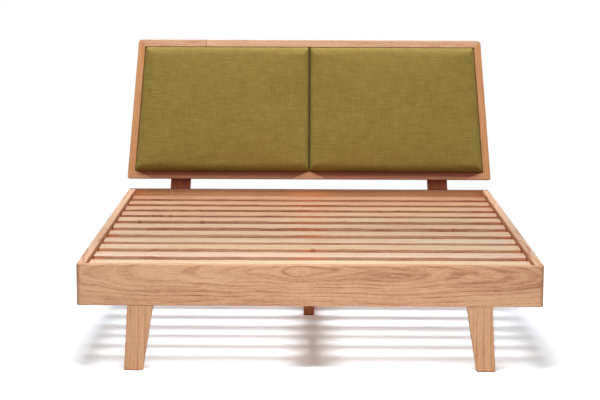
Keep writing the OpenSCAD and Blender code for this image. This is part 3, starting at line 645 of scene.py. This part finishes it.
def upholstery(side):
    """Plain woven cloth with uneven threads, other ones on each pad, which wraps round the pad's edges."""
    low = FRAME_LOW + MEMBER_W
    high = FRAME_HIGH - MEMBER_W
    middle_slope = (low + high) / 2
    middle_across = side * sum(pad_edges(middle_slope)) / 2
    g = new_material("upholstery_left" if side < 0 else "upholstery_right")
    place = g.vector("SUBTRACT", g.node("TexCoord").outputs["Object"], (0, HEAD_Y, RAIL_TOP))
    sunk = g.maths("MAXIMUM", g.maths("SUBTRACT", MEMBER_T + ROLL_UP * 0.8, g.along(place, FORWARD)), 0.0)

    def wrapped(direction, middle):
        """Place along the cloth, which goes on over the edges by as much as it has sunk there."""
        away = g.along(place, direction, middle)
        onwards = g.node("Clamp", {0: g.maths("MULTIPLY", away, 20), 1: -1, 2: 1}).outputs[0]
        return g.maths("MULTIPLY_ADD", onwards, sunk, away)

    cloth = g.node("CombineXYZ", {
        "X": wrapped(X, middle_across),
        "Y": wrapped(UPHILL, middle_slope),
        "Z": 0.3 * side,
    }).outputs[0]
    weft = g.noise(cloth, (22, 750, 1), 3.0, 0.6)
    warp = g.noise(cloth, (750, 22, 1), 3.0, 0.6)
    weft_slub = g.noise(cloth, (20, 270, 1))
    warp_slub = g.noise(cloth, (270, 20, 1))
    mottle = g.noise(cloth, (28, 28, 1), 3.0, 0.6)
    tone = g.sum((weft, 0.6), (warp, 0.5), (weft_slub, 0.75), (warp_slub, 0.45), (mottle, 0.5))
    thread_colour = g.ramp(g.remap(tone, 0.95, 1.85), CLOTH)
    # Painted shade by the way the cloth faces: darker where it faces out, and darker still where it faces
    # down
    upwards = g.remap(g.facing(UPHILL), -0.8, 0.8)
    painted_shade = g.ramp(upwards, [(0.0, SHADE_FACING_DOWN), (0.5, SHADE_FACING_OUT), (1.0, SHADE_FACING_UP)])
    threads = g.maths("MAXIMUM", weft, warp)
    surface = g.node("BsdfPrincipled", {
        "Base Color": g.mix(1.0, thread_colour, painted_shade, "MULTIPLY"),
        "Roughness": 0.85,
        "Specular IOR Level": 0.25,
        "Sheen Weight": 0.08,
        "Sheen Roughness": 0.5,
        "Sheen Tint": (0.62, 0.60, 0.34, 1),
        "Normal": g.bump(g.sum((threads, 1.0), (weft_slub, 0.8), (warp_slub, 0.5)), 0.45, 0.0008, 0.001),
    })
    return g.finish(surface.outputs["BSDF"])


def add_pads():
    """Two cushions, which take the place of the pads' solids."""
    for name, side in SIDES:
        pad = bpy.data.objects.new("cushion_" + name, pad_mesh(side))
        bpy.context.scene.collection.objects.link(pad)
        swell(pad)
        finer = pad.modifiers.new("finer", "SUBSURF")
        finer.levels = finer.render_levels = 1
        for face in pad.data.polygons:
            face.use_smooth = True
        pad.data.materials.append(upholstery(side))
        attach(pad, "root")
        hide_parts("pad_" + name)


dress_wood()
dress_the_rest()
add_pads()


# Camera: the photo's, fitted to the edges of the bed, with angles in radians
CAMERA_PLACE = (-0.0214, -7.810, 1.465)
PITCH = 0.1297
YAW = -0.0021
ROLL = 0.0043
IMAGE_WIDTH = 600
FOCAL_PIXELS = 1982.08
SENSOR_WIDTH = 36


def add_camera():
    """Looks along the bed from the foot end, turned by its three angles."""
    forward = Vector((math.sin(YAW) * math.cos(PITCH), math.cos(YAW) * math.cos(PITCH), -math.sin(PITCH)))
    level = Vector((math.cos(YAW), -math.sin(YAW), 0))
    upright = level.cross(forward)
    right = level * math.cos(ROLL) + upright * math.sin(ROLL)
    up = upright * math.cos(ROLL) - level * math.sin(ROLL)
    data = bpy.data.cameras.new("camera")
    data.sensor_width = SENSOR_WIDTH
    data.lens = FOCAL_PIXELS / IMAGE_WIDTH * SENSOR_WIDTH
    camera = bpy.data.objects.new("camera", data)
    turned = Matrix((right, up, -forward)).transposed().to_4x4()
    camera.matrix_world = Matrix.Translation(CAMERA_PLACE) @ turned
    bpy.context.scene.collection.objects.link(camera)
    bpy.context.scene.camera = camera


# The floor as it bounces light, and as the camera sees it, before the bed and under it: brighter, and without
# the wood's glow. The brighter colour under the bed is painted light, which lifts the shadows there
FLOOR_HALF = 12
BOUNCING_FLOOR = (0.55, 0.55, 0.55, 1)
SEEN_FLOOR = (1.86, 1.98, 2.09, 1)
FLOOR_UNDER_BED_PAINTED_LIGHT = (2.16, 2.42, 2.72, 1)
# Where along the bed the floor under it has its middle, and how far from there its colour holds and has gone
UNDER_MIDDLE = 0.1
UNDER_HOLDS = 0.2
UNDER_GONE = 0.9
# The floor fades into white with the distance from the bed's box, which is taken narrower on both sides, so
# that the fade paints light over the shadows at the bed's sides
NARROWER = 0.35
FADE_START = 0.05
FADE_END = 1.0


def add_floor():
    """A white floor that keeps the shadows near the bed and fades into the white round it, with painted light
    that lifts the shadows under the bed and at its sides.
    """
    mesh = bpy.data.meshes.new("floor")
    corners = [(x * FLOOR_HALF, y * FLOOR_HALF, 0) for x, y in ((-1, -1), (1, -1), (1, 1), (-1, 1))]
    mesh.from_pydata(corners, [], [(0, 1, 2, 3)])
    floor = bpy.data.objects.new("floor", mesh)
    bpy.context.scene.collection.objects.link(floor)
    g = new_material("floor_paper")
    place = g.node("TexCoord").outputs["Object"]
    # The fade starts inside the bed's sides: painted light over the shadows there
    narrow_box = Vector(cad_box[1]) - X * NARROWER
    beside = g.vector("SUBTRACT", g.vector("ABSOLUTE", place), tuple(narrow_box))
    away = g.vector("LENGTH", g.vector("MAXIMUM", beside, (0, 0, 0)))
    far = g.remap(away, FADE_START, FADE_END)
    # Painted light: the camera sees the floor under the bed brighter, which lifts the shadows there
    painted_light_under_bed = g.remap(g.maths("ABSOLUTE", g.along(place, Y, UNDER_MIDDLE)), UNDER_GONE, UNDER_HOLDS)
    paper = g.node("BsdfDiffuse", {"Color": BOUNCING_FLOOR}).outputs[0]
    lit = g.node("BsdfDiffuse", {"Color": g.mix(painted_light_under_bed, SEEN_FLOOR, FLOOR_UNDER_BED_PAINTED_LIGHT)}).outputs[0]
    white = g.node("Emission", {"Color": WHITE, "Strength": 1.0}).outputs[0]
    seen_look = g.node("MixShader", {0: far, 1: lit, 2: white}).outputs[0]
    look = g.node("MixShader", {0: g.seen(), 1: paper, 2: seen_look}).outputs[0]
    mesh.materials.append(g.finish(look))


# Light: the lamps' power in watts, and the strength of the white world round them
KEY_POWER = 57
TOP_POWER = 14.3
FRONT_POWER = 5
SIDE_POWER = 1.2
WORLD_STRENGTH = 0.04


def add_lamp(name, place, target, size, spread, power):
    """A soft lamp that the camera doesn't see. Spread is the width of its beam in degrees."""
    data = bpy.data.lights.new(name, "AREA")
    data.shape = "RECTANGLE"
    data.size, data.size_y = size
    data.spread = math.radians(spread)
    data.energy = power
    lamp = bpy.data.objects.new(name, data)
    lamp.visible_camera = False
    lamp.location = place
    lamp.rotation_euler = (Vector(target) - Vector(place)).to_track_quat("-Z", "Y").to_euler()
    bpy.context.scene.collection.objects.link(lamp)


def add_light():
    """Soft lamps over the bed, in front of it and beside it, in a white world that gives little light."""
    add_lamp("key", (-0.2, -2.1, 4.2), (-0.2, -1.9, 0), (1.6, 1.75), 92, KEY_POWER)
    add_lamp("top", (0, 0.36, 2.9), (0, 0.95, 0.65), (3.2, 0.5), 70, TOP_POWER)
    add_lamp("front", (0.3, -2.5, 0.45), (0.1, -1.13, 0.28), (2.8, 0.5), 120, FRONT_POWER)
    for name, side in SIDES:
        add_lamp(name, (side * 2.3, -0.2, 1.5), (side * 0.7, 1.0, 0.7), (0.8, 1.2), 60, SIDE_POWER)
    g = Graph(bpy.data.worlds.new("studio"))
    soft = g.node("Background", {"Color": WHITE, "Strength": WORLD_STRENGTH}).outputs[0]
    white = g.node("Background", {"Color": WHITE, "Strength": 1.0}).outputs[0]
    look = g.node("MixShader", {0: g.seen(), 1: soft, 2: white}).outputs[0]
    bpy.context.scene.world = g.finish(look, "World")


add_floor()
add_light()
add_camera()
bpy.context.scene.view_settings.view_transform = "Standard"
